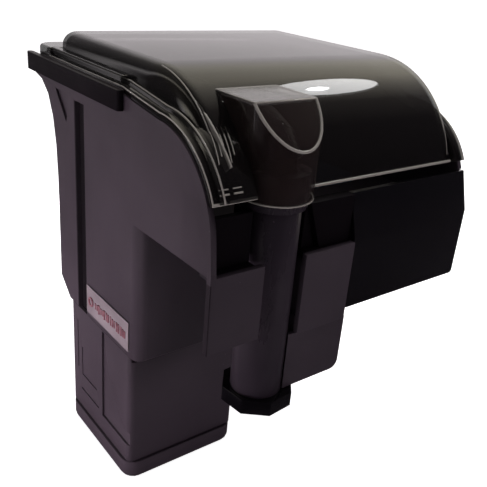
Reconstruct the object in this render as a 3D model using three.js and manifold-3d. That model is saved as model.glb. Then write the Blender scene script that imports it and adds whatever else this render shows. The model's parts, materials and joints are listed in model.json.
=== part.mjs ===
// Hang-on-back aquarium power filter. Millimetres, +Z up. Built with the body's lower near-left
// corner as the working origin, then moved so the part's origin is the middle of the rim rest.
import * as THREE from 'three';
import { mergeVertices } from 'three/addons/utils/BufferGeometryUtils.js';
import Module from 'manifold-3d';

const wasm = await Module();
wasm.setup();

// ---- driving dimensions -------------------------------------------------------------------
const WIDTH = 180;            // body, left face to right face
const DEPTH = 100;            // main chamber, glass side to rear
const RIM_Z = 143;            // top of the body walls
const REACH = 62;             // overhang in front of the main chamber
const UNDERSIDE = 80;         // underside of the overhang, where it rests on the tank rim
const LEG_Z = { left: 41.5, right: 36.4 };    // lower edges of the legs that hang inside the tank
const RECESS_Y = -53.5;       // front wall above the legs, set back behind them
const WALL = 3;
const CORNER_R = 8;           // upright corners of the main chamber, on the glass side
const GAP = 0.4;              // clearance between neighbouring pieces

const ARC = { y: -14, z: 92, left: 46.5, right: 40.5 };   // front curves of the side walls
const DOME = { y: 9, z: 98.6, r: 61.2 };      // front curve of the lid
const DOME_IN = 7;                            // lid dome, inset from each side face
const DOME_REAR = 112;
const LID_WALL = 2.2;
const LID_EDGE_Z = 110;

const TUBE = { x: 43, y: -48.6, r: 13.4, wall: 2, low: 12, high: 118 };
const ELBOW = { r: 12.5, wall: 2, bend: 19, top: 135 };
const PUMP = { x: TUBE.x, y: 50 };
const CHANNEL = { left: 30, right: 55.4 };    // slot between the two legs, for the tube
const PANEL_X = 88.6;                         // left edge of the glossy front panel
const PANEL = { front: -REACH + 1.2, lean: 6.4, thick: 2.6, low: 82, high: 104 };
const HOOD = { r: 18, wall: 1.8, top: 152, low: 108, crease: -49.9, apexZ: 133 };
const MOTOR = { x0: 2, x1: 78.3, y0: 12, y1: 91, seam: -78.7, low: -92.3, wall: 2.5 };
const WELL = { inner: 10.5, wall: 1.5, low: -50 };

// ---- materials ----------------------------------------------------------------------------
function finish(color, roughness, metalness = 0) {
  return new THREE.MeshStandardMaterial({ color, roughness, metalness });
}
const shellBlack = finish(0x2b272c, 0.42);
const glossBlack = finish(0x0e0c10, 0.12);
const smokedClear = finish(0x3a3735, 0.08);
const tubeBlack = finish(0x252028, 0.35);
const motorBlack = finish(0x262227, 0.5);
const rubber = finish(0x171717, 0.85);
const labelWhite = finish(0xd9d2d4, 0.6);
const steel = finish(0xa8abb0, 0.35, 1);
const laminated = finish(0x6a6d72, 0.5, 0.9);
const copper = finish(0xb56a3a, 0.4, 1);
const nylon = finish(0xe4e1d8, 0.5);
const ferrite = finish(0x34343a, 0.6);
const ceramic = finish(0xe9e6df, 0.3);
const foam = finish(0x30506e, 0.95);
const carbon = finish(0x1e1f21, 0.95);
const mediaRing = finish(0xcbb79b, 0.9);
const basketGrey = finish(0x45474a, 0.5);

// ---- geometry helpers ---------------------------------------------------------------------
const AXES = {
  x: new THREE.Matrix4().makeBasis(new THREE.Vector3(0, 1, 0), new THREE.Vector3(0, 0, 1),
    new THREE.Vector3(1, 0, 0)),
  y: new THREE.Matrix4().makeBasis(new THREE.Vector3(0, 0, 1), new THREE.Vector3(1, 0, 0),
    new THREE.Vector3(0, 1, 0)),
  z: new THREE.Matrix4(),
};

function solidOf(geometry) {
  const bare = geometry.clone();
  bare.deleteAttribute('normal');
  bare.deleteAttribute('uv');
  const joined = mergeVertices(bare, 1e-4);
  const mesh = new wasm.Mesh({
    numProp: 3,
    vertProperties: new Float32Array(joined.attributes.position.array),
    triVerts: new Uint32Array(joined.index.array),
  });
  return new wasm.Manifold(mesh);
}

function geometryOf(solid) {
  const mesh = solid.getMesh();
  const geometry = new THREE.BufferGeometry();
  geometry.setAttribute('position', new THREE.BufferAttribute(mesh.vertProperties, 3));
  geometry.setIndex(new THREE.BufferAttribute(mesh.triVerts, 1));
  geometry.computeVertexNormals();
  return geometry;
}

// A prism of an outline along an axis. Points are (y, z) for x, (z, x) for y and (x, y) for z.
function prism(axis, points, from, to) {
  const shape = new THREE.Shape(points.map(([u, v]) => new THREE.Vector2(u, v)));
  const geometry = new THREE.ExtrudeGeometry(shape, { depth: to - from, bevelEnabled: false });
  geometry.translate(0, 0, from);
  geometry.applyMatrix4(AXES[axis]);
  return solidOf(geometry);
}

function box(x0, x1, y0, y1, z0, z1) {
  const geometry = new THREE.BoxGeometry(x1 - x0, y1 - y0, z1 - z0);
  geometry.translate((x0 + x1) / 2, (y0 + y1) / 2, (z0 + z1) / 2);
  return solidOf(geometry);
}

function arc(u, v, r, fromDeg, toDeg, steps) {
  const points = [];
  for (let i = 0; i <= steps; i += 1) {
    const a = THREE.MathUtils.degToRad(fromDeg + ((toDeg - fromDeg) * i) / steps);
    points.push([u + r * Math.cos(a), v + r * Math.sin(a)]);
  }
  return points;
}

function roundedRect(x0, x1, y0, y1, r, steps = 4) {
  return [
    ...arc(x1 - r, y0 + r, r, -90, 0, steps),
    ...arc(x1 - r, y1 - r, r, 0, 90, steps),
    ...arc(x0 + r, y1 - r, r, 90, 180, steps),
    ...arc(x0 + r, y0 + r, r, 180, 270, steps),
  ];
}

function slab(x0, x1, y0, y1, z0, z1, r, steps = 4) {
  return prism('z', roundedRect(x0, x1, y0, y1, r, steps), z0, z1);
}

function cylinder(axis, x, y, z, r, length, sides = 24) {
  const geometry = new THREE.CylinderGeometry(r, r, length, sides);
  if (axis === 'z') geometry.rotateX(Math.PI / 2);
  if (axis === 'x') geometry.rotateZ(Math.PI / 2);
  geometry.translate(x, y, z);
  return solidOf(geometry);
}

function disc(x, y, r, z0, z1, sides = 24) {
  return cylinder('z', x, y, (z0 + z1) / 2, r, z1 - z0, sides);
}

function ring(x, y, inner, outer, z0, z1, sides = 24) {
  return disc(x, y, outer, z0, z1, sides).subtract(disc(x, y, inner, z0 - 1, z1 + 1, sides));
}

function pipe(path, r, sides, steps) {
  const circle = new THREE.Shape(arc(0, 0, r, 0, 360 - 360 / sides, sides - 1)
    .map(([u, v]) => new THREE.Vector2(u, v)));
  return solidOf(new THREE.ExtrudeGeometry(circle, { steps, extrudePath: path, bevelEnabled: false }));
}

function add(first, ...rest) {
  return rest.reduce((sum, item) => sum.add(item), first);
}

function cut(first, ...rest) {
  return rest.reduce((left, item) => left.subtract(item), first);
}

// ---- the part -----------------------------------------------------------------------------
const group = new THREE.Group();
const filter = new THREE.Group();
filter.position.set(-WIDTH / 2, REACH / 2, -UNDERSIDE);
group.add(filter);

function piece(name, solid, material) {
  const mesh = new THREE.Mesh(geometryOf(solid), material);
  mesh.name = name;
  filter.add(mesh);
}

// Side view of one half of the body: rear flare, rim, front curve and underside of the overhang.
function sideOutline(radius) {
  return [
    [-REACH, UNDERSIDE],
    [CORNER_R, UNDERSIDE],
    [CORNER_R, UNDERSIDE - 5],
    [DEPTH, UNDERSIDE - 5],
    [DEPTH + 1.5, 96],
    [DEPTH + 5, 112],
    [DEPTH + 11, 124],
    [DEPTH + 20, 131],
    [DEPTH + 33, 134],
    [DEPTH + 33, RIM_Z],
    [21, RIM_Z],
    ...arc(ARC.y, ARC.z, radius, 90, 175, 12),
  ];
}

// Hollow of the upper body behind a front wall: open to the top and, above that wall, to the front.
function upperHollow(foot, top, topZ) {
  return [
    [foot, UNDERSIDE + WALL],
    [DEPTH - WALL, UNDERSIDE + WALL],
    [DEPTH - WALL + 1.5, 98],
    [DEPTH + 2, 114],
    [DEPTH + 12, 130],
    [DEPTH + 12, 170],
    [-80, 170],
    [-80, topZ],
    [top, topZ],
  ];
}

// Soft-sided groove down each side wall.
function sideGroove(mirror) {
  const points = [[-1, 61.5], [2.2, 65], [2.2, 72.5], [-1, 76.5]];
  const placed = mirror ? points.map(([x, y]) => [WIDTH - x, y]) : points;
  return prism('z', placed, -1, 128);
}

function sideGrooveBacking(mirror) {
  const x0 = mirror ? WIDTH - 5 : 0.5;
  return box(x0, x0 + 4.5, 60, 78, 1, 131);
}

// Three-cornered recess where each side wall runs into the rear flare.
function gusset(mirror) {
  const x0 = mirror ? WIDTH - 1.3 : -1;
  return prism('x', [[80, 129.5], [100, 129.5], [86, 113]], x0, x0 + 2.3);
}

// A rail moulded along the top of each side wall, outside the lid.
function sideRail(mirror) {
  const x0 = mirror ? WIDTH - 0.2 : -3.6;
  return prism('z', roundedRect(x0, x0 + 3.8, 17, DEPTH + 33, 1.7, 3), 135, RIM_Z + 2);
}

// The legs inside the tank, with the trough block that joins them to the overhang and the return
// wall beside the tube.
function legs() {
  const edge = PANEL_X - GAP;
  return cut(
    add(
      box(0, TUBE.x, -REACH, -REACH + WALL, LEG_Z.left, UNDERSIDE + 2),
      box(TUBE.x - 1, edge, -REACH, -REACH + WALL, LEG_Z.right, UNDERSIDE + 2),
      box(WALL - 1, edge, -REACH + 1, RECESS_Y + WALL, UNDERSIDE - 3.2, UNDERSIDE + 1),
      box(CHANNEL.right + 3.8, CHANNEL.right + 5.8, -REACH + 2, -44, LEG_Z.right, UNDERSIDE + 2),
    ),
    box(CHANNEL.left, CHANNEL.right, -REACH - 1, -REACH + WALL + 1, LEG_Z.right - 1, 99),
  );
}

// Everything in front of the set-back walls: above the legs' trough, and behind the glossy panel.
function frontRecess() {
  const edge = PANEL_X - GAP;
  const back = PANEL.front + PANEL.thick + GAP;
  const panelSpace = [
    [-80, 70],
    [back, 70],
    [back, PANEL.low],
    [back + PANEL.lean, PANEL.high + GAP],
    [-80, PANEL.high + GAP],
  ];
  return add(
    box(WALL, edge, -80, RECESS_Y, UNDERSIDE, 170),
    box(WALL, edge, -REACH + WALL, RECESS_Y, UNDERSIDE - 0.6, 170),
    prism('x', panelSpace, edge, WIDTH + 1),
  );
}

// Guard wall round the tube's channel, and the raised plate with a slanted edge to the right of it.
function channelWalls() {
  const guard = cut(
    prism('z', channelOutline(2.4), UNDERSIDE + 1, PANEL.high),
    prism('z', channelOutline(0), UNDERSIDE, PANEL.high + 1),
  );
  const slanted = [[PANEL.high, 59], [PANEL.high, 91], [UNDERSIDE - 1, 91], [UNDERSIDE - 1, 68]];
  return add(
    guard.intersect(box(WALL, 120, RECESS_Y, 20, 70, PANEL.high)),
    cut(prism('y', slanted, -57, -51), frontRecess().intersect(box(PANEL_X - GAP, 200, -90, 0, 60, 200))),
  );
}

function bodyShell() {
  const chamber = slab(0, WIDTH, 0, DEPTH + 30, -1, 91, CORNER_R, 6);
  const lower = prism('x', roundedRect(0, DEPTH, 0, 90, 3, 3), 0, WIDTH).intersect(chamber);
  const chamfer = prism('x', [[86, -1], [110, -1], [110, 14], [DEPTH, 11]], -1, WIDTH + 1);
  const upper = add(
    prism('x', sideOutline(ARC.left), 0, PANEL_X),
    prism('x', sideOutline(ARC.right), PANEL_X - 1, WIDTH),
  );
  const edge = PANEL_X - GAP;
  const lean = PANEL.front + PANEL.thick + GAP + WALL;
  const hollows = add(
    slab(WALL, WIDTH - WALL, WALL, DEPTH - WALL, WALL, 100, 4),
    prism('x', upperHollow(RECESS_Y + WALL, RECESS_Y + WALL, PANEL.high), WALL, edge + 1),
    prism('x', upperHollow(lean + 0.2, lean + PANEL.lean - 0.6, 102), edge, WIDTH - WALL),
  );
  const chamferInside = prism('x', [[83, WALL - 1], [98, WALL - 1], [98, 13]], WALL - 1, WIDTH - WALL + 1);
  const outside = cut(add(lower, upper, legs(), sideRail(false), sideRail(true)), chamfer);
  const backing = add(sideGrooveBacking(false), sideGrooveBacking(true), chamferInside);
  const walls = add(cut(outside, hollows), backing.intersect(outside));
  return cut(
    add(cut(walls, frontRecess()), channelWalls()),
    sideGroove(false),
    sideGroove(true),
    gusset(false),
    gusset(true),
    prism('z', channelOutline(0), 70, PANEL.high + 1),
    disc(PUMP.x, PUMP.y, 14.2, -1, WALL + 1),
  );
}

// Plan of the slot that lets the intake tube pass the overhang.
function channelOutline(margin) {
  const r = 16 + margin;
  return [
    [TUBE.x - r, -REACH + WALL],
    [TUBE.x + r, -REACH + WALL],
    ...arc(TUBE.x, TUBE.y, r, 0, 180, 12),
  ];
}

function frontPanel() {
  const { front, lean, thick, low, high } = PANEL;
  const side = [
    [front, UNDERSIDE - 2],
    [front, low],
    [front + lean, high],
    [front + lean + thick, high],
    [front + thick, low],
    [front + thick, UNDERSIDE - 2],
  ];
  const skirt = roundedRect(41.5, UNDERSIDE - GAP, PANEL_X, WIDTH - 0.2, 2, 3);
  return add(
    prism('x', side, PANEL_X, WIDTH - 0.2),
    prism('y', skirt, front, front + thick),
  );
}

// Guide plate below the right leg: a rounded plate with a ring under the tube's end, a side wall
// next to the tube, and a tongue that clips behind the leg.
function intakeGuide() {
  const front = -REACH + 2;
  const back = front + 2.4;
  const low = 3.6;
  const top = LEG_Z.right - GAP;
  const outline = [
    [low, 51.6],
    [top, 51.6],
    [top, 91],
    ...arc(low + 5, 86, 5, 90, 180, 4),
  ];
  const underTube = disc(TUBE.x, TUBE.y, TUBE.r - 0.9, low, TUBE.low - GAP);
  return cut(
    add(
      cut(prism('y', outline, front, back), disc(TUBE.x, TUBE.y, TUBE.r + 0.5, 0, 40, 48)),
      box(57.2, 58.7, -REACH + WALL + GAP, -44, low, top + 8),
      box(62.5, 84, -REACH + WALL + GAP, -REACH + WALL + GAP + 2, 28, 66),
      underTube,
      box(TUBE.x + 11.5, 58, -56, -44, low, TUBE.low - GAP),
    ),
    disc(TUBE.x, TUBE.y, 11, -5, 20),
  );
}

function domeOutline(offset) {
  const r = DOME.r - offset;
  const startDeg = 180 - THREE.MathUtils.radToDeg(Math.asin((LID_EDGE_Z - DOME.z) / r));
  const rear = DOME_REAR - offset;
  const top = DOME.z + r;
  return [
    [-36, LID_EDGE_Z],
    [0, RIM_Z - 2],
    [rear, RIM_Z - 2],
    ...arc(rear - 7, top - 7, 7, 0, 90, 4),
    ...arc(DOME.y, DOME.z, r, 90, startDeg, 18),
  ];
}

// The lip that lies on one side wall and follows its front curve.
function lipOutline(low, high, radius) {
  return [
    ...arc(ARC.y, ARC.z, radius + low, 155.5, 90, 10),
    [21, RIM_Z + low],
    [DEPTH + 30, RIM_Z + low],
    [DEPTH + 30, RIM_Z + high],
    [21, RIM_Z + high],
    ...arc(ARC.y, ARC.z, radius + high, 90, 155.5, 10),
  ];
}

// The shoulder between the left lip and the intake hood.
function lidShoulder() {
  const low = ARC.left + GAP;
  const high = ARC.left + 4.2;
  const outline = [...arc(ARC.y, ARC.z, low, 155.5, 112, 8), ...arc(ARC.y, ARC.z, high, 112, 155.5, 8)];
  return prism('x', outline, DOME_IN + 1, TUBE.x - HOOD.r - GAP);
}

function lidDome() {
  const x0 = DOME_IN;
  const x1 = WIDTH - DOME_IN;
  const outer = prism('x', domeOutline(0), x0, x1);
  const innerOutline = [
    [-DOME.r + DOME.y + 3, 95],
    [DOME_REAR - LID_WALL, 95],
    ...domeOutline(LID_WALL).slice(3),
  ];
  const inner = prism('x', innerOutline, x0 + LID_WALL, x1 - LID_WALL);
  const lip = add(
    prism('x', lipOutline(GAP, 4.2, ARC.left), 0.6, PANEL_X),
    prism('x', lipOutline(GAP, 4.2, ARC.right), PANEL_X - 1, WIDTH - 1.6),
  );
  const plan = slab(0.6, WIDTH - 0.6, -90, DEPTH + 30, 90, 170, 9);
  const lipHollow = slab(x0 + LID_WALL, x1 - LID_WALL, -95, DOME_REAR - LID_WALL, 90, 170, 5);
  const bead = slab(2.6, DOME_IN + 1, 24, DEPTH + 24, RIM_Z + 3, RIM_Z + 7.5, 1.5, 2);
  const rearRim = slab(2.6, WIDTH - 2.6, DOME_REAR - 4, DEPTH + 28, RIM_Z + 3, RIM_Z + 7.5, 7);
  const mouth = box(TUBE.x - HOOD.r + HOOD.wall, TUBE.x + HOOD.r - HOOD.wall, -75, -15, 100,
    HOOD.top - HOOD.wall);
  const rim = cut(lip.intersect(plan), lipHollow);
  return cut(add(cut(outer, inner), rim, lidShoulder(), bead, rearRim), mouth);
}

function hoodBlock(inset) {
  const r = HOOD.r - inset;
  const top = HOOD.top - inset;
  const plan = [
    ...arc(TUBE.x, TUBE.y, r, 180, 360, 16),
    [TUBE.x + r, 0],
    [TUBE.x - r, 0],
  ];
  const slope = (HOOD.top - HOOD.apexZ) / (HOOD.crease - (TUBE.y - HOOD.r));
  const drop = inset * (Math.hypot(1, slope) - 1);
  const above = [
    [HOOD.crease + 20, top + 20 * slope - drop],
    [HOOD.crease, top - drop],
    [HOOD.crease - 40, top - 40 * slope - drop],
    [HOOD.crease - 40, top + 60],
    [HOOD.crease + 20, top + 60],
  ];
  const block = prism('z', plan, inset > 0 ? HOOD.low - 5 : HOOD.low, top);
  return cut(block, prism('x', above, 0, 90));
}

function intakeHood() {
  const domeSpace = cylinder('x', 43, DOME.y, DOME.z, DOME.r + GAP, 60, 96);
  return cut(hoodBlock(0), hoodBlock(HOOD.wall), domeSpace);
}

function intakeTube() {
  const { x, y, r, wall, low, high } = TUBE;
  return cut(
    add(disc(x, y, r, low, high, 32), disc(x, y, 10.6, 1, low + 1, 32)),
    disc(x, y, r - wall, low + 2, high + 1, 32),
    disc(x, y, 9, 0, low + 3, 32),
  );
}

// Up from the tube, over the rim and down to the pump, with quarter-circle bends.
function elbowPath(start, low) {
  const { bend, top } = ELBOW;
  const spine = [
    [TUBE.y, start],
    ...arc(TUBE.y + bend, top - bend, bend, 180, 90, 6),
    ...arc(PUMP.y - bend, top - bend, bend, 90, 0, 6),
    [PUMP.y, low],
  ];
  const path = new THREE.CurvePath();
  for (let i = 1; i < spine.length; i += 1) {
    const ends = [spine[i - 1], spine[i]].map(([y, z]) => new THREE.Vector3(TUBE.x, y, z));
    path.add(new THREE.LineCurve3(...ends));
  }
  return path;
}

function intakeElbow() {
  const socket = disc(TUBE.x, TUBE.y, 15.6, 104, TUBE.high + 3, 32);
  return cut(
    add(pipe(elbowPath(TUBE.high - 1, 22), ELBOW.r, 16, 24), socket),
    pipe(elbowPath(TUBE.high - 2, 20), ELBOW.r - ELBOW.wall, 16, 24),
    disc(TUBE.x, TUBE.y, TUBE.r + 0.35, 100, TUBE.high + 0.4, 32),
  );
}

function octagon(x, y, flats) {
  return arc(x, y, flats / 2 / Math.cos(Math.PI / 8), 22.5 + 6, 337.5 + 6, 7);
}

function strainer() {
  const x = TUBE.x + 2;
  const y = TUBE.y + 1;
  const top = 3.1;
  const low = -5;
  const cup = cut(
    prism('z', octagon(x, y, 36), low, top),
    prism('z', octagon(x, y, 32), low + 2, top - 2),
  );
  const slots = [];
  for (let i = -2; i <= 2; i += 1) {
    const middle = x + i * 5;
    slots.push(box(middle - 1.2, middle + 1.2, y - 12, y + 12, low - 1, low + 3));
  }
  return cut(cup, disc(TUBE.x, TUBE.y, 11, 0, top + 1), ...slots);
}

function voluteCup() {
  const floor = disc(PUMP.x, PUMP.y, 23, WALL + GAP, WALL + 2.4);
  const wall = ring(PUMP.x, PUMP.y, 20.5, 23, WALL + GAP, 19);
  const outlet = box(PUMP.x + 15, PUMP.x + 30, PUMP.y - 9, PUMP.y + 9, WALL + 3.5, 17);
  return cut(add(floor, wall), disc(PUMP.x, PUMP.y, 14.4, 0, 10), outlet);
}

function voluteCover() {
  const plate = disc(PUMP.x, PUMP.y, 23, 19.4, 21.5);
  const collar = disc(PUMP.x, PUMP.y, 15, 21, 32);
  const spokes = add(
    box(PUMP.x - 9.4, PUMP.x + 9.4, PUMP.y - 1, PUMP.y + 1, 19.4, 21.5),
    disc(PUMP.x, PUMP.y, 3.4, 19.4, 21.5, 16),
  );
  const hole = cut(disc(PUMP.x, PUMP.y, 9, 10, 21.6), spokes);
  return cut(
    add(plate, collar),
    disc(PUMP.x, PUMP.y, ELBOW.r + 0.4, 21.6, 40),
    hole,
    disc(PUMP.x, PUMP.y, 2.2, 10, 30, 16),
  );
}

// Details of the motor box's left face: a raised rear part, a curved recess before it and thin lines.
function motorFaceCuts() {
  const x = MOTOR.x0;
  const recess = [[47, -4], ...arc(-20, -4, 63, 0, -60, 10), [8, -66], [47, -66]];
  const line = (y0, y1, z0, z1) => box(x - 1, x + 0.7, y0, y1, z0, z1);
  return add(
    prism('x', recess, x - 1, x + 1.3),
    line(80.5, 81.7, -49, -13.7),
    line(74.5, 75.7, -51, -31),
    line(55, 75.7, -52.2, -51),
    line(52, 77, -64.2, -63),
  );
}

function motorShell() {
  const { x0, x1, y0, y1, seam, wall } = MOTOR;
  const top = -GAP;
  const outer = slab(x0, x1, y0, y1, seam + GAP, top, 4);
  const inner = slab(x0 + wall, x1 - wall, y0 + wall, y1 - wall, seam - 1, top - wall, 2.5);
  const well = disc(PUMP.x, PUMP.y, WELL.inner + WELL.wall, WELL.low, top - 1);
  const boss = disc(PUMP.x, PUMP.y, 13.8, top - 1, 5.2);
  const posts = corners().map(([x, y]) => disc(x, y, 4.2, seam + GAP, top - 1, 16));
  return cut(
    add(cut(outer, inner), well, boss, ...posts),
    disc(PUMP.x, PUMP.y, WELL.inner, WELL.low + 1.6, 10),
    ring(PUMP.x, PUMP.y, 15, 19, top - 1.5, top + 1),
    ...corners().map(([x, y]) => disc(x, y, 1.7, seam - 1, -64, 12)),
    cylinder('y', 20, y1 - 1, -62, 2.6, 12, 16),
    motorFaceCuts(),
  );
}

function corners() {
  const inset = 10;
  const xs = [MOTOR.x0 + inset, MOTOR.x1 - inset];
  const ys = [MOTOR.y0 + inset, MOTOR.y1 - inset];
  return xs.flatMap((x) => ys.map((y) => [x, y]));
}

// A block with rounded upright corners and a rounded lower edge.
function plinth(x0, x1, y0, y1, z0, z1, corner, edge) {
  const outline = roundedRect(x0 + edge, x1 - edge, y0 + edge, y1 - edge, corner - edge);
  const shape = new THREE.Shape(outline.map(([x, y]) => new THREE.Vector2(x, y)));
  const geometry = new THREE.ExtrudeGeometry(shape, {
    depth: z1 - z0,
    bevelThickness: edge,
    bevelSize: edge,
    bevelSegments: 4,
  });
  geometry.translate(0, 0, z0 + edge);
  return solidOf(geometry).intersect(box(x0 - 1, x1 + 1, y0 - 1, y1 + 1, z0 - 1, z1));
}

function motorBase() {
  const { x0, x1, y0, y1, seam, low } = MOTOR;
  const plate = plinth(x0 - 1.2, x1 + 1.2, y0 - 1.2, y1 + 1.2, low, seam, 9, 4.5);
  const underside = slab(x0 + 5, x1 - 5, y0 + 5, y1 - 5, low - 1, low + 3.5, 5);
  const stands = corners().map(([x, y]) => disc(x, y, 5.4, low, low + 4, 16));
  return cut(
    add(cut(plate, underside), ...stands),
    ...corners().map(([x, y]) => disc(x, y, 1.7, low - 1, seam + 1, 12)),
    ...corners().map(([x, y]) => disc(x, y, 3.5, low - 1, low + 4.5, 16)),
  );
}

function baseScrew([x, y]) {
  const { low } = MOTOR;
  const head = disc(x, y, 3.1, low + 1, low + 4, 16);
  const slot = box(x - 0.5, x + 0.5, y - 4, y + 4, low, low + 1.9);
  return add(cut(head, slot), disc(x, y, 1.35, low + 3, -66, 12));
}

function statorCore() {
  const outer = box(PUMP.x - 25, PUMP.x + 25, PUMP.y - 12, PUMP.y + 12, -71, -20);
  const window = box(PUMP.x - 12.6, PUMP.x + 12.6, PUMP.y - 20, PUMP.y + 20, -59, -10);
  return cut(outer, window);
}

function bobbinBlock(x0, x1, margin) {
  return box(x0, x1, PUMP.y - 12 - margin, PUMP.y + 12 + margin, -71 - margin, -59 + margin);
}

function coilBobbin() {
  const x0 = PUMP.x - 12;
  const x1 = PUMP.x + 12;
  return cut(
    add(bobbinBlock(x0, x1, 1.6), bobbinBlock(x0, x0 + 1.5, 5.6), bobbinBlock(x1 - 1.5, x1, 5.6)),
    bobbinBlock(x0 - 1, x1 + 1, 0.4),
  );
}

function coilWinding() {
  const x0 = PUMP.x - 12 + 1.9;
  const x1 = PUMP.x + 12 - 1.9;
  return cut(bobbinBlock(x0, x1, 5), bobbinBlock(x0 - 1, x1 + 1, 2));
}

function rotorMagnet() {
  return ring(PUMP.x, PUMP.y, 1.9, 9.2, -44, -6, 24);
}

function impeller() {
  const hub = ring(PUMP.x, PUMP.y, 1.9, 5, -5.6, 15, 20);
  const plate = ring(PUMP.x, PUMP.y, 1.9, 16, 6.2, 7.6, 20);
  const blades = [];
  for (let i = 0; i < 6; i += 1) {
    const blade = box(4, 16, -0.8, 0.8, 7, 15);
    blades.push(blade.rotate([0, 0, i * 60]).translate([PUMP.x, PUMP.y, 0]));
  }
  return add(hub, plate, ...blades);
}

function rotorShaft() {
  return disc(PUMP.x, PUMP.y, 1.5, -47.2, 20.4, 16);
}

function shaftBush(z0, z1, hole0, hole1, r) {
  return cut(disc(PUMP.x, PUMP.y, r, z0, z1, 16), disc(PUMP.x, PUMP.y, 1.85, hole0, hole1, 16));
}

function cableGland() {
  const y = MOTOR.y1;
  const collar = cylinder('y', 20, y + GAP + 1.5, -62, 4.6, 3, 16);
  const sleeve = cylinder('y', 20, y + 7, -62, 3.4, 10, 16);
  const plug = cylinder('y', 20, y - 0.6, -62, 2.2, 4, 16);
  return cut(add(collar, sleeve, plug), cylinder('y', 20, y + 10, -62, 1.6, 14, 12));
}

function chamberDivider() {
  const x = 79;
  const plate = box(x, x + 2, WALL + GAP, DEPTH - WALL - GAP, WALL + GAP, 96);
  const port = box(x - 1, x + 3, 20, 80, 2, 24);
  const rearStep = prism('x', [[79, 0], [110, 0], [110, 16], [98, 16]], x - 1, x + 3);
  return cut(plate, port, rearStep);
}

const MEDIA = { x0: 84, x1: 164, y0: 8, y1: 82 };

function mediaBasket() {
  const { x0, x1, y0, y1 } = MEDIA;
  const outer = slab(x0, x1, y0, y1, 5, 40, 3, 2);
  const inner = slab(x0 + 2, x1 - 2, y0 + 2, y1 - 2, 7, 50, 2, 2);
  const slots = [];
  for (let i = 0; i < 7; i += 1) slots.push(box(x0 + 8 + i * 10, x0 + 12 + i * 10, y0 + 8, y1 - 8, 3, 9));
  return cut(outer, inner, ...slots);
}

function mediaLayer(z0, z1) {
  const { x0, x1, y0, y1 } = MEDIA;
  return slab(x0 + 2.6, x1 - 2.6, y0 + 2.6, y1 - 2.6, z0, z1, 4, 3);
}

function sealRing(x, y, inner, outer, z0, z1) {
  return ring(x, y, inner, outer, z0, z1, 24);
}

function labelPlate() {
  return box(-0.75, -0.3, 9.4, 61, 3.6, 21.6);
}

piece('body_shell', bodyShell(), shellBlack);
piece('front_panel', frontPanel(), glossBlack);
piece('intake_guide', intakeGuide(), shellBlack);
piece('lid_dome', lidDome(), smokedClear);
piece('intake_hood', intakeHood(), smokedClear);
piece('intake_tube', intakeTube(), tubeBlack);
piece('intake_elbow', intakeElbow(), tubeBlack);
piece('strainer', strainer(), motorBlack);
piece('volute_cup', voluteCup(), basketGrey);
piece('volute_cover', voluteCover(), basketGrey);
piece('motor_shell', motorShell(), motorBlack);
piece('motor_base', motorBase(), motorBlack);
corners().forEach((corner, i) => piece(`base_screw_${i + 1}`, baseScrew(corner), steel));
piece('stator_core', statorCore(), laminated);
piece('coil_bobbin', coilBobbin(), nylon);
piece('coil_winding', coilWinding(), copper);
piece('rotor_magnet', rotorMagnet(), ferrite);
piece('impeller', impeller(), nylon);
piece('rotor_shaft', rotorShaft(), ceramic);
piece('lower_bush', shaftBush(-48, -45, -47.6, -44, 5), rubber);
piece('upper_bush', shaftBush(16.5, 19, 15, 20, 3.2), rubber);
piece('motor_seal', sealRing(PUMP.x, PUMP.y, 15.4, 18.6, -1.6, -0.35), rubber);
piece('cable_gland', cableGland(), rubber);
piece('chamber_divider', chamberDivider(), shellBlack);
piece('media_basket', mediaBasket(), basketGrey);
piece('ceramic_media', mediaLayer(7.5, 38), mediaRing);
piece('carbon_pad', mediaLayer(42, 54), carbon);
piece('filter_sponge', mediaLayer(54.5, 84), foam);
piece('label_plate', labelPlate(), labelWhite);

export default group;
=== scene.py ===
"""Looks of a hang-on-back aquarium filter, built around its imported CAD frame. Metres, +Z up."""

import json
import math
import random

import bmesh
import bpy
from mathutils import Matrix, Vector

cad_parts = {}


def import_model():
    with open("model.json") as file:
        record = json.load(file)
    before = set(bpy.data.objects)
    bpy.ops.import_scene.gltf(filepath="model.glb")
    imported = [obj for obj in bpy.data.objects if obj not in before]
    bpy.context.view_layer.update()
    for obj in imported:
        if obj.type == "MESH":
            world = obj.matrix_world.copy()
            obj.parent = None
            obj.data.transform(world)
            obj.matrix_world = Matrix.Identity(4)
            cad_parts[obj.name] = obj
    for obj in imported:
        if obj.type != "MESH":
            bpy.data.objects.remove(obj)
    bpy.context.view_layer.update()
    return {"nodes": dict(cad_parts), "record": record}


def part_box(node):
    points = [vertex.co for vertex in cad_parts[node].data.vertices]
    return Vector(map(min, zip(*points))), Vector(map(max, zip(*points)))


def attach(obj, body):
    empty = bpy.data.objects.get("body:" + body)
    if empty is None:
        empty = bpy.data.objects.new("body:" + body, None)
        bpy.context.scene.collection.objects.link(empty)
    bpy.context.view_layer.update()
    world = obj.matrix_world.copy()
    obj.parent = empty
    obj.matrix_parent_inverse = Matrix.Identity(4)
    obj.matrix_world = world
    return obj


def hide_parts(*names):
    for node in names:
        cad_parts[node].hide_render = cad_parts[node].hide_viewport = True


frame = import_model()
MM = 0.001


# ---------------------------------------------------------------- landmarks taken from the frame
BODY_LO, BODY_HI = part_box("body_shell")
TUBE_LO, TUBE_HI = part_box("intake_tube")
HOOD_LO, HOOD_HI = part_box("intake_hood")
LABEL_LO, LABEL_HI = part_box("label_plate")
MOTOR_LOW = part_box("motor_shell")[0].z
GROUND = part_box("motor_base")[0].z

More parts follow.
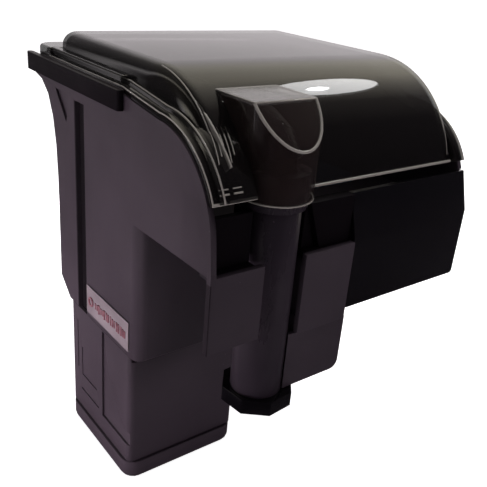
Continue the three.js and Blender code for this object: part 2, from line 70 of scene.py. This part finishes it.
# From here on, millimetres from the body's lower near-left corner: x along the tank wall, z up.
RAIL_OUT = 3.6                                            # how far the side rails stand out
REACH = 62                                                # overhang in front of the main chamber
CORNER = BODY_LO + Vector((RAIL_OUT, REACH, 0)) * MM
WIDTH = (BODY_HI.x - BODY_LO.x) / MM - 2 * RAIL_OUT
RIM_Z = 143                                               # top of the side walls
DEPTH = 100                                               # main chamber, glass side to rear
PANEL_X = (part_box("front_panel")[0].x - CORNER.x) / MM
DOME = {"y": 9, "z": 98.6, "r": 61.2, "rear": 112, "edge_z": 110, "inset": 7}
LIP = {"y": -14, "z": 92, "left": 46.5, "right": 40.5, "end": 155.5}
TUBE = {"x": 43, "y": -48.6}
HOOD_R = (HOOD_HI.x - HOOD_LO.x) / MM / 2
HOOD_TOP = (HOOD_HI.z - CORNER.z) / MM
HOOD_CREASE = -49.9                                       # where its flat top meets the sloping arch
HOOD_BACK = -21.5
HOOD_SLOPE = 1.138


def at(x, y, z):
    """A point given in millimetres from the body's lower near-left corner."""
    return CORNER + Vector((x, y, z)) * MM


# ---------------------------------------------------------------- shader helpers
def new_material(name):
    material = bpy.data.materials.new(name)
    material.use_nodes = True
    return material, material.node_tree, material.node_tree.nodes["Principled BSDF"]


def noise(tree, scale, detail=4.0, roughness=0.5, stretch=(1, 1, 1)):
    coords = tree.nodes.new("ShaderNodeTexCoord")
    mapping = tree.nodes.new("ShaderNodeMapping")
    mapping.inputs["Scale"].default_value = stretch
    texture = tree.nodes.new("ShaderNodeTexNoise")
    texture.inputs["Scale"].default_value = scale
    texture.inputs["Detail"].default_value = detail
    texture.inputs["Roughness"].default_value = roughness
    tree.links.new(coords.outputs["Object"], mapping.inputs["Vector"])
    tree.links.new(mapping.outputs["Vector"], texture.inputs["Vector"])
    return texture.outputs["Fac"]


def ramp(tree, source, stops):
    node = tree.nodes.new("ShaderNodeValToRGB")
    elements = node.color_ramp.elements
    while len(elements) < len(stops):
        elements.new(0.5)
    for element, (position, colour) in zip(elements, stops):
        element.position = position
        element.color = (*colour, 1)
    tree.links.new(source, node.inputs["Fac"])
    return node.outputs["Color"]


def span(tree, source, low, high):
    node = tree.nodes.new("ShaderNodeMapRange")
    node.inputs["To Min"].default_value = low
    node.inputs["To Max"].default_value = high
    tree.links.new(source, node.inputs["Value"])
    return node.outputs["Result"]


def mix_colours(tree, factor, first, second):
    node = tree.nodes.new("ShaderNodeMix")
    node.data_type = "RGBA"
    tree.links.new(factor, node.inputs[0])
    for socket, colour in ((node.inputs[6], first), (node.inputs[7], second)):
        if isinstance(colour, tuple):
            socket.default_value = (*colour, 1)
        else:
            tree.links.new(colour, socket)
    return node.outputs[2]


def axes_of(tree, output):
    """The X, Y and Z of a texture coordinate, as sockets."""
    coords = tree.nodes.new("ShaderNodeTexCoord")
    axes = tree.nodes.new("ShaderNodeSeparateXYZ")
    tree.links.new(coords.outputs[output], axes.inputs["Vector"])
    return axes.outputs


def bump(tree, bsdf, height, strength, distance):
    node = tree.nodes.new("ShaderNodeBump")
    node.inputs["Strength"].default_value = strength
    node.inputs["Distance"].default_value = distance
    tree.links.new(height, node.inputs["Height"])
    tree.links.new(node.outputs["Normal"], bsdf.inputs["Normal"])


def multiply_colours(tree, first, second):
    node = tree.nodes.new("ShaderNodeVectorMath")
    node.operation = "MULTIPLY"
    tree.links.new(first, node.inputs[0])
    tree.links.new(second, node.inputs[1])
    return node.outputs["Vector"]


def math_node(tree, operation, *values):
    node = tree.nodes.new("ShaderNodeMath")
    node.operation = operation
    for socket, value in zip(node.inputs, values):
        if isinstance(value, (int, float)):
            socket.default_value = value
        else:
            tree.links.new(value, socket)
    return node.outputs["Value"]


def zone(tree, low, high, edge):
    """1 inside a box given in millimetres from the body's corner, falling to 0 over a soft edge."""
    axes = axes_of(tree, "Object")
    inside = 1
    for name, start, end in zip("XYZ", at(*low), at(*high)):
        for limit, direction in ((start, 1), (end, -1)):
            step = tree.nodes.new("ShaderNodeMapRange")
            step.interpolation_type = "SMOOTHSTEP"
            step.inputs["From Min"].default_value = limit - direction * edge * MM
            step.inputs["From Max"].default_value = limit
            tree.links.new(axes[name], step.inputs["Value"])
            inside = math_node(tree, "MULTIPLY", inside, step.outputs["Result"])
    return inside


def moulded_plastic(name, dark, light, rough_low, rough_high, grain=2600, strength=0.12, painted_shade=()):
    """A moulding: faint tone drift, uneven gloss, dust specks and a fine spark-eroded grain. Each
    zone passed in, a (low, high, edge, amount), gets painted shade (its colour mixed towards
    near-black) and duller gloss: recesses, seams and rails."""
    material, tree, bsdf = new_material(name)
    drift = noise(tree, 14, 3)
    tone = ramp(tree, drift, [(0.3, dark), (0.7, light)])
    specks = ramp(tree, noise(tree, 520, 2), [(0.755, (0, 0, 0)), (0.79, (0.5, 0.5, 0.5))])
    tone = mix_colours(tree, specks, tone, tuple(min(1, 3 * c + 0.02) for c in light))
    shine = 0.5
    # Painted shade: in each zone the colour is mixed towards near-black, as the shade in recesses, seams and
    # along rails.
    for low, high, edge, amount in painted_shade:
        shade = math_node(tree, "MULTIPLY", zone(tree, low, high, edge), amount)
        tone = mix_colours(tree, shade, tone, (0.002, 0.0015, 0.002))
        shine = math_node(tree, "MULTIPLY", shine, math_node(tree, "SUBTRACT", 1, shade))
    tree.links.new(tone, bsdf.inputs["Base Color"])
    if painted_shade:
        tree.links.new(shine, bsdf.inputs["Specular IOR Level"])
    scuffs = noise(tree, 60, 6, 0.65, (1, 1, 0.25))
    tree.links.new(span(tree, scuffs, rough_low, rough_high), bsdf.inputs["Roughness"])
    bump(tree, bsdf, noise(tree, grain, 2), strength, 0.0001)
    return material


def smoked_plastic(name, tint, density, roughness):
    """Clear plastic with a grey-brown tint: mostly see-through, with a sharp surface gloss."""
    material, tree, bsdf = new_material(name)
    bsdf.inputs["Base Color"].default_value = (*tint, 1)
    bsdf.inputs["Alpha"].default_value = density
    bsdf.inputs["IOR"].default_value = 1.52
    smears = noise(tree, 35, 5, 0.6, (1, 0.3, 1))
    tree.links.new(span(tree, smears, roughness * 0.5, roughness * 1.6), bsdf.inputs["Roughness"])
    bump(tree, bsdf, noise(tree, 22, 2), 0.05, 0.0008)
    return material


BLACK = (0.036, 0.027, 0.035), (0.052, 0.040, 0.051)       # the darkest and lightest of the tone drift


def shell_plastic():
    # Painted shade zones on the shell: the trough above the legs, part of the left leg's side, the area under
    # the tube, the side grooves and the side rails.
    trough = ((4, -57, 76), (PANEL_X, -40, 111), 5, 0.92)
    leg_side = ((-1, -64, 30), (0.5, -58, 77), 0.3, 0.6)
    under_tube = ((25, -64, -6), (50, -30, 12), 0.5, 0.92)
    painted_shade = [trough, leg_side, under_tube]
    groove = (0.6, 4, (63, -2), (75, 127), 0.7)
    rail = (-5, -0.3, (15, RIM_Z - 16), (140, RIM_Z + 9), 0.3)
    for side, start in ((1, 0), (-1, WIDTH)):
        for near, far, low, high, edge in (groove, rail):
            left, right = sorted((start + side * near, start + side * far))
            painted_shade.append(((left, *low), (right, *high), edge, 0.88))
    return moulded_plastic("shell_plastic", *BLACK, 0.3, 0.46, painted_shade=painted_shade)


def motor_plastic():
    # Painted shade in the seams of the motor box and where it meets its base.
    side_seam = ((-5, 13, -2.8), (3, 110, 2), 0.5, 0.92)
    front_seam = ((-5, 5, -6.8), (110, 12.6, 2), 0.6, 0.92)
    seam = (MOTOR_LOW - CORNER.z) / MM
    base_seam = ((-5, 0, seam - 0.8), (110, 110, seam + 0.5), 0.4, 0.4)
    painted_shade = (side_seam, front_seam, base_seam)
    return moulded_plastic("motor_plastic", *BLACK, 0.34, 0.5, painted_shade=painted_shade)


def tube_plastic():
    return moulded_plastic("tube_plastic", (0.020, 0.015, 0.021), (0.032, 0.025, 0.032), 0.22, 0.34)


def gloss_panel_plastic():
    dark, light = (0.0022, 0.0018, 0.0026), (0.004, 0.0034, 0.0046)
    return moulded_plastic("gloss_panel", dark, light, 0.08, 0.16, 400, 0.04)


def grey_plastic():
    return moulded_plastic("grey_plastic", (0.06, 0.062, 0.066), (0.085, 0.088, 0.092), 0.4, 0.6)


def rubber():
    return moulded_plastic("rubber", (0.010, 0.010, 0.010), (0.018, 0.018, 0.018), 0.75, 0.92, 1500, 0.4)


def lid_plastic():
    return smoked_plastic("lid_smoked", (0.006, 0.005, 0.005), 0.72, 0.03)


def hood_plastic():
    return smoked_plastic("hood_clear", (0.022, 0.015, 0.014), 0.52, 0.04)


def edge_highlight_plastic():
    """Rims and ribs of the clear mouldings, coloured pale as painted highlights along them."""
    return smoked_plastic("clear_edge_highlight", (0.34, 0.32, 0.29), 0.8, 0.08)


def pane_plastic():
    """The hood's flat top, scuffed, and coloured paler than its sides as painted light on the top."""
    return smoked_plastic("hood_pane_painted_light", (0.42, 0.40, 0.38), 0.3, 0.12)


def metal(name, colour, roughness, stretch):
    material, tree, bsdf = new_material(name)
    bsdf.inputs["Metallic"].default_value = 1
    lines = noise(tree, 260, 4, 0.6, stretch)
    darker = tuple(0.75 * c for c in colour)
    tree.links.new(ramp(tree, lines, [(0.35, darker), (0.65, colour)]), bsdf.inputs["Base Color"])
    tree.links.new(span(tree, lines, roughness * 0.7, roughness * 1.3), bsdf.inputs["Roughness"])
    bump(tree, bsdf, lines, 0.2, 0.0002)
    return material


def fibre(name, dark, light, scale):
    material, tree, bsdf = new_material(name)
    pores = noise(tree, scale, 5, 0.7)
    tree.links.new(ramp(tree, pores, [(0.42, dark), (0.6, light)]), bsdf.inputs["Base Color"])
    bsdf.inputs["Roughness"].default_value = 0.95
    bump(tree, bsdf, pores, 0.9, 0.0012)
    return material


def label_film():
    """White film. The marks on it are separate generic shapes."""
    material, tree, bsdf = new_material("label_film")
    tree.links.new(
        ramp(tree, noise(tree, 90, 4), [(0.3, (0.17, 0.14, 0.155)), (0.7, (0.22, 0.185, 0.20))]),
        bsdf.inputs["Base Color"],
    )
    bsdf.inputs["Roughness"].default_value = 0.45
    bump(tree, bsdf, noise(tree, 200, 3), 0.1, 0.0002)
    return material


def label_ink():
    material, tree, bsdf = new_material("label_ink")
    tree.links.new(
        ramp(tree, noise(tree, 400, 4), [(0.35, (0.17, 0.06, 0.08)), (0.6, (0.26, 0.12, 0.14))]),
        bsdf.inputs["Base Color"],
    )
    bsdf.inputs["Roughness"].default_value = 0.6
    return material


MATERIALS = {
    "shell_black": shell_plastic(),
    "gloss_black": gloss_panel_plastic(),
    "smoked_clear": lid_plastic(),
    "tube_black": tube_plastic(),
    "motor_black": motor_plastic(),
    "rubber_black": rubber(),
    "label_white": label_film(),
    "screw_steel": metal("screw_steel", (0.55, 0.55, 0.57), 0.3, (1, 1, 8)),
    "lamination": metal("lamination", (0.30, 0.30, 0.32), 0.45, (1, 30, 1)),
    "copper_wire": metal("copper_wire", (0.72, 0.30, 0.13), 0.3, (30, 1, 1)),
    "nylon_white": moulded_plastic("nylon", (0.62, 0.60, 0.54), (0.72, 0.70, 0.64), 0.35, 0.5),
    "ferrite": moulded_plastic("ferrite", (0.03, 0.03, 0.033), (0.06, 0.06, 0.065), 0.5, 0.7),
    "ceramic_white": moulded_plastic("ceramic", (0.70, 0.68, 0.62), (0.80, 0.78, 0.74), 0.12, 0.2),
    "foam_blue": fibre("foam_blue", (0.01, 0.03, 0.08), (0.06, 0.16, 0.30), 900),
    "carbon_black": fibre("carbon_fleece", (0.004, 0.004, 0.004), (0.03, 0.03, 0.03), 1400),
    "ceramic_rings": fibre("ceramic_rings", (0.25, 0.18, 0.11), (0.62, 0.52, 0.38), 700),
    "basket_grey": grey_plastic(),
}
HOOD = hood_plastic()
# Pale clear plastic for rims and ribs: painted highlights.
EDGE_HIGHLIGHT = edge_highlight_plastic()
# Pale plate colour for the hood's top: painted light.
PANE_PAINTED_LIGHT = pane_plastic()
INK = label_ink()


# ---------------------------------------------------------------- CAD nodes that stay as they are
def soften(name, width=0.5 * MM, angle=28):
    """Joins the CAD mesh's split vertices and rounds its edges, without touching its own vertices."""
    node = frame["nodes"][name]
    weld = node.modifiers.new("weld", "WELD")
    weld.merge_threshold = 0.00002
    flat = node.modifiers.new("flat", "DECIMATE")
    flat.decimate_type = "DISSOLVE"
    flat.angle_limit = math.radians(0.6)
    round_off = node.modifiers.new("round", "BEVEL")
    round_off.width = width
    round_off.segments = 3
    round_off.limit_method = "ANGLE"
    round_off.angle_limit = math.radians(angle)
    round_off.harden_normals = True
    for polygon in node.data.polygons:
        polygon.use_smooth = True


def dress_frame():
    slots = {item["node"]: item["material_slot"] for item in frame["record"]["subparts"]}
    for name, node in frame["nodes"].items():
        node.data.materials.clear()
        node.data.materials.append(MATERIALS[slots[name]])
    frame["nodes"]["intake_hood"].data.materials[0] = HOOD
    for name in ("body_shell", "front_panel", "intake_guide", "motor_shell", "motor_base", "strainer"):
        soften(name)
    for name in ("intake_hood", "intake_elbow"):
        soften(name, 0.35 * MM)


# ---------------------------------------------------------------- mesh helpers
def arc(cy, cz, radius, start, end, steps):
    angles = [math.radians(start + (end - start) * i / steps) for i in range(steps + 1)]
    return [(cy + radius * math.cos(a), cz + radius * math.sin(a)) for a in angles]


def new_piece(name, mesh, material, body):
    piece = bpy.data.objects.new(name, mesh)
    bpy.context.scene.collection.objects.link(piece)
    piece.data.materials.append(material)
    for polygon in piece.data.polygons:
        polygon.use_smooth = True
    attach(piece, body)
    return piece


def grid(name, rows, closed=False):
    """A mesh through rows of points. With closed, each row is a ring and the ends are capped."""
    shape = bmesh.new()
    corners = [[shape.verts.new(point) for point in row] for row in rows]
    count = len(rows[0])
    for first, second in zip(corners, corners[1:]):
        for i in range(count if closed else count - 1):
            j = (i + 1) % count
            shape.faces.new((first[i], first[j], second[j], second[i]))
    if closed:
        shape.faces.new(corners[0])
        shape.faces.new(corners[-1])
    bmesh.ops.recalc_face_normals(shape, faces=shape.faces)
    mesh = bpy.data.meshes.new(name)
    shape.to_mesh(mesh)
    shape.free()
    return mesh


def bevel(piece, width, segments=3, angle=30):
    round_off = piece.modifiers.new("round", "BEVEL")
    round_off.width = width * MM
    round_off.segments = segments
    round_off.limit_method = "ANGLE"
    round_off.angle_limit = math.radians(angle)
    round_off.harden_normals = True


def bead(name, points, radius, material, body, cyclic=False):
    """A round bead of plastic along a line of points."""
    curve = bpy.data.curves.new(name, "CURVE")
    curve.dimensions = "3D"
    curve.bevel_depth = radius * MM
    curve.bevel_resolution = 3
    curve.use_fill_caps = True
    spline = curve.splines.new("POLY")
    spline.points.add(len(points) - 1)
    for knot, point in zip(spline.points, points):
        knot.co = (*point, 1)
    spline.use_cyclic_u = cyclic
    piece = bpy.data.objects.new(name, curve)
    bpy.context.scene.collection.objects.link(piece)
    piece.data.materials.append(material)
    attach(piece, body)
    return piece


def plate(name, outline, low, high, material, body, round_off=0.4):
    """A flat plate: an outline in x and y, between two heights."""
    rows = [[at(x, y, z) for x, y in outline] for z in (low, high)]
    piece = new_piece(name, grid(name, rows, closed=True), material, body)
    bevel(piece, round_off)
    return piece


# ---------------------------------------------------------------- lid
def dome_profile(inset):
    """Side view of the dome, drawn in from its outer surface by inset."""
    radius = DOME["r"] - inset
    start = 180 - math.degrees(math.asin((DOME["edge_z"] - DOME["z"]) / radius))
    corner = max(7, inset + 0.4)
    top = DOME["z"] + DOME["r"]
    rear = arc(DOME["rear"] - corner, top - corner, corner - inset, 90, 0, 8)
    return arc(DOME["y"], DOME["z"], radius, start, 90, 40) + rear + [(rear[-1][0], RIM_Z + 1)]


def dome_stations():
    """(x, inset) from the left lip, over the rounded left edge, to where the flat top begins."""
    radius = 9.5
    side = [(DOME["inset"] - 0.12 * drop, radius + drop) for drop in (8, 5, 2)]
    turn = []
    for i in range(11):
        a = math.radians(90 * i / 10)
        turn.append((DOME["inset"] + radius * (1 - math.cos(a)), radius * (1 - math.sin(a))))
    return side + turn


def lid_dome(material):
    left = dome_stations()
    right = [(WIDTH - x, inset) for x, inset in reversed(left)]
    rows = [[at(x, y, z) for y, z in dome_profile(inset)] for x, inset in left + right]
    piece = new_piece("lid_shell", grid("lid_shell", rows), material, "lid")
    thick = piece.modifiers.new("wall", "SOLIDIFY")
    thick.thickness = 1.8 * MM
    thick.offset = -1
    return piece


def lip_line(radius, height):
    """The line that the lip follows: the wall's front curve, then straight along the rim."""
    front = arc(LIP["y"], LIP["z"], radius + height, LIP["end"], 90, 30)
    return front + [(21, RIM_Z + height), (DEPTH + 22, RIM_Z + height)]


def lid_lip(name, radius, outer, inward, material):
    """Stepped lip on one side wall. Its section is given as (distance inwards, height)."""
    section = [(0, 0.4), (0, 2.5), (0.4, 3.0), (3.4, 3.2), (3.9, 3.6), (4.2, 4.8), (4.7, 5.3), (5.6, 5.3),
               (6.1, 4.8), (6.5, 3.9), (8.6, 3.9), (8.6, 0.4)]
    lines = [lip_line(radius, height) for _, height in section]
    rows = []
    for i in range(len(lines[0])):
        rows.append([at(outer + inward * x, *line[i]) for (x, _), line in zip(section, lines)])
    piece = new_piece(name, grid(name, rows, closed=True), material, "lid")
    bevel(piece, 0.25, 2, 40)
    return piece


def lid_shoulder(material):
    """The curved piece of lid between the left lip and the hood."""
    x0, x1 = 8.2, TUBE["x"] - HOOD_R - 0.4
    section = [(x0, 0.4), (x0, 3.6), (x0 + 2, 4.2), (x1 - 2, 4.2), (x1, 3.6), (x1, 0.4)]
    rows = []
    lines = [arc(LIP["y"], LIP["z"], LIP["left"] + h, LIP["end"], 112, 24) for _, h in section]
    for i in range(25):
        rows.append([at(x, *line[i]) for (x, _), line in zip(section, lines)])
    piece = new_piece("lid_shoulder", grid("lid_shoulder", rows, closed=True), material, "lid")
    bevel(piece, 0.5)


def on_shoulder(x, angle, height):
    return at(x, *arc(LIP["y"], LIP["z"], LIP["left"] + height, angle, angle, 1)[0])


def lid_edges(bright):
    """Beads along the lower edges, the two lips and the dome's turns, coloured pale as painted highlights."""
    front = (DOME["y"] - 60.1, DOME["edge_z"])
    bead("lid_edge", [at(TUBE["x"] + HOOD_R + 0.5, *front), at(WIDTH - 11, *front)], 0.8, bright, "lid")
    bead("shoulder_edge", [on_shoulder(1, 155, 2.6), on_shoulder(24.2, 155, 2.6)], 0.8, bright, "lid")
    for side, radius, start in ((1, LIP["left"], 0), (-1, LIP["right"], WIDTH)):
        for inward, height, thick in ((1.1, 2.9, 0.35), (5.7, 5.3, 0.45)):
            line = [at(start + side * inward, *point) for point in lip_line(radius, height)]
            bead(f"lip_bead_{start:.0f}_{inward:.0f}", line, thick, bright, "lid")
        turn = arc(DOME["y"], DOME["z"], DOME["r"] - 1.2, 95, 166, 30)
        edge = [at(start + side * 12.2, *point) for point in turn]
        bead(f"dome_bead_{start:.0f}", edge, 0.35, bright, "lid")


def shoulder_marks(bright):
    """Two rows of short tabs low on the shoulder, and ribs fanning out at its top, coloured pale as painted
    highlights.
    """
    for row in (148.5, 151):
        for x in (4.6, 11.6):
            tab = [on_shoulder(x, row, 4.3), on_shoulder(x + 4.6, row, 4.3)]
            bead(f"tab_{row:.0f}_{x:.0f}", tab, 0.45 if row > 150 else 0.3, bright, "lid")
    for i in range(5):
        x = 13.5 + 2.2 * i
        rib = [on_shoulder(x - 0.8 * k, 112 + 4 * k, 4.4) for k in range(7 - i % 3)]
        bead(f"shoulder_rib_{i}", rib, 0.28, bright, "lid")


def lid_rails(material):
    """A rounded rail on top of each lip."""
    rail = [(2.2, 24), (7.8, 24), (7.8, 112), (2.2, 112)]
    mirrored = [(WIDTH - x, y) for x, y in rail]
    for name, outline in (("lid_rail_left", rail), ("lid_rail_right", mirrored)):
        plate(name, outline, RIM_Z + 2.8, RIM_Z + 7.5, material, "lid", 1.4)


def lid_fin(name, x, width, depth, material):
    """A thin curved fin that runs from the dome's rounded side down to the shoulder."""
    outer = arc(9.9, 71.5, 83.5, 97, 139, 24)
    inner = arc(9.9, 71.5, 83.5 - depth, 97, 139, 24)
    rows = []
    for high, low in zip(outer, inner):
        rows.append([at(x, *low), at(x, *high), at(x + width, *high), at(x + width, *low)])
    piece = new_piece(name, grid(name, rows, closed=True), material, "lid")
    bevel(piece, 0.3)


def lid_rear(material):
    x0, x1, y0, y1, radius = 0.6, WIDTH - 0.6, 108, DEPTH + 30, 9
    outline = [(x0, y0), (x1, y0)]
    outline += arc(x1 - radius, y1 - radius, radius, 0, 90, 8)
    outline += arc(x0 + radius, y1 - radius, radius, 90, 180, 8)
    plate("lid_rear_lip", outline, RIM_Z + 0.4, RIM_Z + 7.5, material, "lid", 2)


def build_lid():
    clear = MATERIALS["smoked_clear"]
    shell = lid_dome(clear)
    lid_lip("lid_lip_left", LIP["left"], 0.6, 1, clear)
    lid_lip("lid_lip_right", LIP["right"], WIDTH - 1.6, -1, clear)
    lid_shoulder(clear)
    lid_edges(EDGE_HIGHLIGHT)
    shoulder_marks(EDGE_HIGHLIGHT)
    lid_rails(clear)
    # The fin is coloured pale as a painted highlight.
    lid_fin("lid_fin", 13, 1.1, 6, EDGE_HIGHLIGHT)
    lid_rear(clear)
    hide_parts("lid_dome")


# ---------------------------------------------------------------- hood
def hood_rims():
    """Rounded rims round the hood's flat top, sloping arch and lower end, coloured pale as painted
    highlights, and a pale pane on its top as painted light.
    """
    x0, x1 = TUBE["x"] - HOOD_R + 0.5, TUBE["x"] + HOOD_R - 0.5
    top = HOOD_TOP - 0.4
    pane = [(x0, HOOD_CREASE), (x1, HOOD_CREASE), (x1, HOOD_BACK), (x0, HOOD_BACK)]
    bead("hood_top_rim", [at(x, y, top) for x, y in pane], 0.6, EDGE_HIGHLIGHT, "lid", cyclic=True)
    arch = []
    for i in range(25):
        a = math.radians(184.2 + 171.6 * i / 24)
        x = TUBE["x"] + (HOOD_R - 0.5) * math.cos(a)
        y = TUBE["y"] + (HOOD_R - 0.5) * math.sin(a)
        arch.append(at(x, y, top - HOOD_SLOPE * (HOOD_CREASE - y)))
    bead("hood_arch_rim", arch, 0.75, EDGE_HIGHLIGHT, "lid")
    # A pale pane on the hood's top: painted light.
    plate("hood_pane_painted_light", pane, HOOD_TOP + 0.05, HOOD_TOP + 0.35, PANE_PAINTED_LIGHT, "lid", 0.1)
    low = (HOOD_LO.z - CORNER.z) / MM + 0.5
    skirt = [at(TUBE["x"] + (HOOD_R - 0.4) * math.cos(a), TUBE["y"] + (HOOD_R - 0.4) * math.sin(a), low)
             for a in (math.radians(180 + 180 * i / 24) for i in range(25))]
    bead("hood_lower_rim", skirt, 0.5, EDGE_HIGHLIGHT, "lid")


# ---------------------------------------------------------------- intake tube
def smooth_tube():
    """The straight intake tube, rounder than its CAD node, with a softened lower rim."""
    middle = (TUBE_LO + TUBE_HI) / 2
    radius = (TUBE_HI.x - TUBE_LO.x) / 2
    profile = [(radius - 0.6 * MM, TUBE_LO.z), (radius - 0.2 * MM, TUBE_LO.z + 0.15 * MM),
               (radius, TUBE_LO.z + 0.6 * MM), (radius, TUBE_HI.z)]
    rows = []
    for i in range(97):
        a = math.tau * i / 96
        rows.append([Vector((middle.x + r * math.cos(a), middle.y + r * math.sin(a), z)) for r, z in profile])
    piece = new_piece("tube_wall", grid("tube_wall", rows), MATERIALS["tube_black"], "housing")
    weld = piece.modifiers.new("weld", "WELD")
    weld.merge_threshold = 0.00001
    thick = piece.modifiers.new("wall", "SOLIDIFY")
    thick.thickness = 2 * MM
    thick.offset = -1
    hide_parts("intake_tube")


# ---------------------------------------------------------------- label
def label_marks():
    """A ring-shaped mark and a row of plain bars, in place of any lettering."""
    x = LABEL_LO.x - 0.06 * MM
    middle = (LABEL_LO.z + LABEL_HI.z) / 2
    dice = random.Random(4)
    y = LABEL_HI.y - 6 * MM
    spots = [Vector((x, y + 2.6 * MM * math.cos(a), middle + 2.6 * MM * math.sin(a)))
             for a in (math.tau * i / 10 for i in range(10))]
    bead("label_ring", spots, 0.7, INK, "housing", cyclic=True)
    y -= 6 * MM
    number = 0
    while y > LABEL_LO.y + 3.5 * MM:
        half = dice.uniform(1.6, 3.0) * MM
        bar = [Vector((x, y, middle - half)), Vector((x, y, middle + half))]
        bead(f"label_bar_{number}", bar, dice.uniform(0.45, 0.75), INK, "housing")
        y -= dice.uniform(1.9, 2.9) * MM
        number += 1


# ---------------------------------------------------------------- stage, lights and camera
def floor():
    bpy.ops.mesh.primitive_plane_add(size=60, location=(0, 0, GROUND))
    plane = bpy.context.object
    plane.name = "floor"
    material, tree, bsdf = new_material("floor")
    tree.links.new(
        ramp(tree, noise(tree, 3, 3), [(0.3, (0.86, 0.86, 0.86)), (0.7, (0.9, 0.9, 0.9))]),
        bsdf.inputs["Base Color"],
    )
    bsdf.inputs["Roughness"].default_value = 0.9
    bsdf.inputs["Emission Color"].default_value = (1, 1, 1, 1)
    path = tree.nodes.new("ShaderNodeLightPath")
    glow = math_node(tree, "MULTIPLY", path.outputs["Is Camera Ray"], 0.93)
    tree.links.new(glow, bsdf.inputs["Emission Strength"])
    plane.data.materials.append(material)
    plane.visible_glossy = False


def area_light(name, location, target, size, power, colour=(1, 1, 1), glossy=True, shape="RECTANGLE"):
    data = bpy.data.lights.new(name, "AREA")
    data.shape = shape
    data.size, data.size_y = size
    data.energy = power
    data.color = colour
    light = bpy.data.objects.new(name, data)
    light.location = location
    light.rotation_euler = (Vector(target) - Vector(location)).to_track_quat("-Z", "Y").to_euler()
    light.visible_glossy = glossy
    bpy.context.scene.collection.objects.link(light)


def sky_angle(tree):
    """0 straight down, a third at the horizon behind the object, two thirds overhead, 1 in front."""
    axes = axes_of(tree, "Generated")
    scaled = tree.nodes.new("ShaderNodeMapRange")
    scaled.inputs["From Min"].default_value = -math.pi / 2
    scaled.inputs["From Max"].default_value = math.pi
    tree.links.new(math_node(tree, "ARCTAN2", axes["Z"], axes["Y"]), scaled.inputs["Value"])
    return scaled.outputs["Result"]


def world():
    """White for the camera. Glossy surfaces see a room that is bright behind the object, olive
    higher up, dark in front, and dark with two bright stripes to the left; matt ones get an even
    soft light."""
    room = bpy.data.worlds.new("room")
    room.use_nodes = True
    bpy.context.scene.world = room
    tree = room.node_tree
    background = tree.nodes["Background"]
    room_tone = ramp(tree, sky_angle(tree), [
        (0, (0.04, 0.035, 0.04)),
        (0.14, (0.06, 0.05, 0.06)),
        (0.22, (0.45, 0.41, 0.44)),
        (0.34, (0.82, 0.77, 0.79)),
        (0.43, (1.1, 1.03, 1.04)),
        (0.48, (1.35, 1.27, 1.1)),
        (0.57, (1.4, 1.3, 1.08)),
        (0.62, (0.9, 0.84, 0.72)),
        (0.7, (0.2, 0.18, 0.17)),
        (0.8, (0.05, 0.045, 0.05)),
        (1, (0.03, 0.028, 0.032)),
    ])
    across = math_node(tree, "MULTIPLY_ADD", axes_of(tree, "Generated")["X"], 0.5, 0.5)
    from_left = ramp(tree, across, [
        (0.05, (0.08, 0.08, 0.08)),
        (0.08, (2, 2, 2)),
        (0.12, (0.08, 0.08, 0.08)),
        (0.24, (0.08, 0.08, 0.08)),
        (0.27, (1.2, 1.2, 1.2)),
        (0.31, (0.1, 0.1, 0.1)),
        (0.5, (0.2, 0.2, 0.2)),
        (0.66, (1, 1, 1)),
    ])
    room_tone = multiply_colours(tree, room_tone, from_left)
    path = tree.nodes.new("ShaderNodeLightPath")
    soft = mix_colours(tree, path.outputs["Is Glossy Ray"], (0.14, 0.13, 0.14), room_tone)
    seen = mix_colours(tree, path.outputs["Is Camera Ray"], soft, (1, 1, 1))
    tree.links.new(seen, background.inputs["Color"])


def camera():
    azimuth, elevation, roll = (math.radians(a) for a in (38.94, 23.84, -4.97))
    forward = Vector((math.sin(azimuth) * math.cos(elevation), math.cos(azimuth) * math.cos(elevation),
                      -math.sin(elevation)))
    right = Vector((math.cos(azimuth), -math.sin(azimuth), 0))
    down = forward.cross(right)
    turned_right = math.cos(roll) * right + math.sin(roll) * down
    turned_down = math.cos(roll) * down - math.sin(roll) * right
    data = bpy.data.cameras.new("camera")
    data.lens = 49.5
    view = bpy.data.objects.new("camera", data)
    place = Matrix((turned_right, -turned_down, -forward)).transposed().to_4x4()
    place.translation = (-0.2402, -0.2369, 0.1312)
    view.matrix_world = place
    data.clip_start = 0.01
    bpy.context.scene.collection.objects.link(view)
    bpy.context.scene.camera = view


dress_frame()
build_lid()
hood_rims()
smooth_tube()
label_marks()
floor()
world()
WARM = (1, 0.9, 0.97)
area_light("key", (-0.34, 0.12, -0.17), (-0.09, 0.05, -0.14), (0.4, 0.04), 2, WARM, glossy=False)
area_light("side", (-1.1, 0.2, 0.35), (0, 0, -0.05), (0.9, 0.9), 0.25, WARM)
area_light("fill", (0.35, -1.0, -0.02), (-0.02, 0, -0.08), (0.5, 0.3), 2.5, WARM, glossy=False)
area_light("edge", (0.16, 0.5, -0.12), (-0.047, -0.018, -0.04), (0.3, 0.3), 1.2, WARM)
area_light("top", (0.1, 0.3, 1.3), (0, 0, 0), (1.4, 1.4), 14, glossy=False)
LID_SPOT = at(89, -24, 150)           # the lid mirrors a round lamp to the camera from here
LAMP = LID_SPOT + 0.4 * Vector((0.69, 0.134, 0.712))
area_light("lamp", LAMP, LID_SPOT, (0.115, 0.14), 0.3, shape="ELLIPSE")
area_light("lamp_spot", LAMP + Vector((-0.012, -0.012, 0.0)), LID_SPOT, (0.028, 0.028), 0.05, shape="DISK")
bpy.context.scene.view_settings.view_transform = "Standard"
camera()

bpy.context.view_layer.update()
